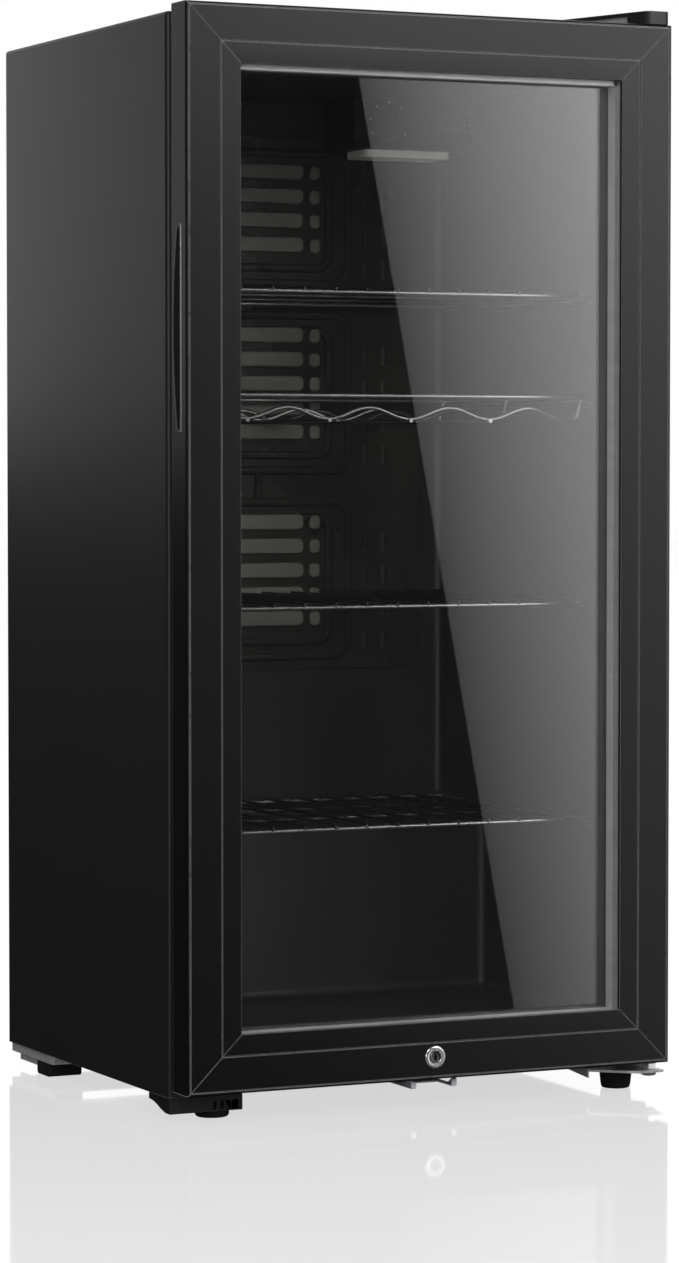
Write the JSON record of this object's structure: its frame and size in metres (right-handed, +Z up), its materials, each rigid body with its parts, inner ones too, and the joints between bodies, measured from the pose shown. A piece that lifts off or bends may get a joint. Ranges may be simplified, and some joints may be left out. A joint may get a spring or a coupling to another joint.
{
  "type": "mini fridge",
  "caption": "Upright beverage cooler: black insulated steel cabinet, hinged glass door with lock and side finger pull, wire shelves, wine rack, adjustable feet and rear compressor bay.",
  "frame": {"origin": "centre of the footprint on the floor, under the middle of the overall box", "axes": "+Z up, the door faces -Y, +X towards the hinge side, which is on the right when seen from the front"},
  "size_m": [0.45, 0.406, 0.924],
  "materials": {
    "cabinet_black": "satin",
    "door_black": "satin",
    "liner_black": "satin",
    "black_plastic": "matte",
    "black_rubber": "matte",
    "zinc_steel": "satin",
    "chrome": "polished",
    "copper": "satin",
    "clear_glass": "gloss",
    "insulation": "matte",
    "lens_white": "gloss",
    "aluminium": "satin"
  },
  "bodies": {
    "cabinet": {"cabinet_shell": "cabinet_black", "back_panel": "cabinet_black", "compressor_shell": "cabinet_black", "inner_liner": "liner_black", "relay_cover": "black_plastic", "drain_tube": "black_plastic", "evaporating_tray": "black_plastic", "power_inlet": "black_plastic", "control_box": "black_plastic", "top_hinge_cover": "black_plastic", "front_bracket_left": "black_plastic", "compressor_grommet_1": "black_rubber", "compressor_grommet_2": "black_rubber", "compressor_grommet_3": "black_rubber", "compressor_grommet_4": "black_rubber", "rear_foot_left": "black_rubber", "rear_foot_right": "black_rubber", "floor_panel": "zinc_steel", "compressor_plate": "zinc_steel", "lock_strike": "zinc_steel", "lower_hinge_bracket": "zinc_steel", "lower_hinge_screw_1": "zinc_steel", "lower_hinge_screw_2": "zinc_steel", "top_hinge_bracket": "zinc_steel", "top_hinge_screw_1": "zinc_steel", "top_hinge_screw_2": "zinc_steel", "lower_hinge_pin": "chrome", "lower_hinge_nut": "chrome", "top_hinge_pin": "chrome", "condenser_coil": "copper", "suction_pipe": "copper", "discharge_pipe": "copper", "capillary_tube": "copper", "filter_drier": "copper", "foam_insulation": "insulation", "lamp_lens": "lens_white", "evaporator_plate": "aluminium"},
    "door": {"door_rail_top": "door_black", "door_rail_bottom": "door_black", "door_stile_left": "door_black", "door_stile_right": "door_black", "outer_glass": "clear_glass", "glass_spacer": "aluminium", "inner_glass": "clear_glass", "door_inner_frame": "black_plastic", "door_gasket": "black_rubber", "handle_cup": "black_plastic", "handle_trim": "chrome", "upper_hinge_bush": "black_plastic", "lower_hinge_bush": "black_plastic", "lock_barrel": "chrome"},
    "lock_plug": {"lock_plug": "chrome"},
    "thermostat_dial": {"thermostat_dial": "black_plastic"},
    "lamp_switch": {"lamp_switch": "black_plastic"},
    "shelf_top": {"shelf_top": "chrome"},
    "wine_rack": {"wine_rack": "chrome"},
    "shelf_middle": {"shelf_middle": "chrome"},
    "shelf_lower": {"shelf_lower": "chrome"},
    "front_foot_left": {"front_foot_left": "black_rubber"},
    "front_foot_right": {"front_foot_right": "black_rubber"}
  },
  "joints": [
    {"name": "door_swing", "type": "hinge", "parent": "cabinet", "child": "door", "pos_m": [0.2135, -0.1865, 0.47], "axis": [0, 0, 1], "range_deg": [0, 115]},
    {"name": "lock_turn", "type": "hinge", "parent": "door", "child": "lock_plug", "pos_m": [0, -0.195, 0.0455], "axis": [0, 1, 0], "range_deg": [0, 90]},
    {"name": "thermostat_turn", "type": "hinge", "parent": "cabinet", "child": "thermostat_dial", "pos_m": [0.1, 0.085, 0.847], "axis": [0, 1, 0], "range_deg": [0, 300]},
    {"name": "lamp_switch_rock", "type": "hinge", "parent": "cabinet", "child": "lamp_switch", "pos_m": [0.152, 0.0956, 0.847], "axis": [1, 0, 0], "range_deg": [0, 14]},
    {"name": "shelf_top_slide", "type": "slide", "parent": "cabinet", "child": "shelf_top", "axis": [0, -1, 0], "range_m": [0, 0.03]},
    {"name": "wine_rack_slide", "type": "slide", "parent": "cabinet", "child": "wine_rack", "axis": [0, -1, 0], "range_m": [0, 0.03]},
    {"name": "shelf_middle_slide", "type": "slide", "parent": "cabinet", "child": "shelf_middle", "axis": [0, -1, 0], "range_m": [0, 0.03]},
    {"name": "shelf_lower_slide", "type": "slide", "parent": "cabinet", "child": "shelf_lower", "axis": [0, -1, 0], "range_m": [0, 0.03]},
    {"name": "front_foot_left_height", "type": "slide", "parent": "cabinet", "child": "front_foot_left", "axis": [0, 0, -1], "range_m": [0, 0.01]},
    {"name": "front_foot_right_height", "type": "slide", "parent": "cabinet", "child": "front_foot_right", "axis": [0, 0, -1], "range_m": [0, 0.01]}
  ]
}
